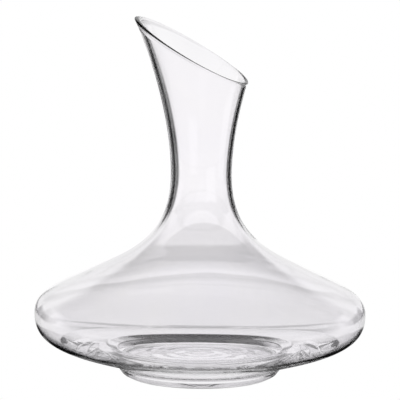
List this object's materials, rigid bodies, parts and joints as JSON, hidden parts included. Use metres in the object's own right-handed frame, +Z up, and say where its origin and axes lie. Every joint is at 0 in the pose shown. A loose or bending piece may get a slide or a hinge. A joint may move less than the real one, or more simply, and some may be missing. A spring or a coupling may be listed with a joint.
{
  "type": "wine decanter",
  "caption": "Clear glass wine decanter: a wide flat bowl on a low foot ring, a slim flared neck and a mouth cut on a slant for pouring.",
  "frame": {"origin": "centre of the foot ring's resting circle, on the table", "axes": "+Z up along the neck's axis; the slanted mouth's high pouring side is towards -X and its low side towards +X; +Y is square to both, and the X-Z plane is the plane of symmetry"},
  "size_m": [0.22, 0.22, 0.2382],
  "materials": {
    "vessel_glass": "clear blown glass, fire-polished gloss",
    "foot_glass": "clear thick pressed glass, gloss"
  },
  "bodies": {
    "root": {"pouring_lip": "vessel_glass", "neck": "vessel_glass", "throat": "vessel_glass", "shoulder": "vessel_glass", "belly": "vessel_glass", "well_floor": "foot_glass", "foot_ring": "foot_glass"}
  },
  "joints": []
}
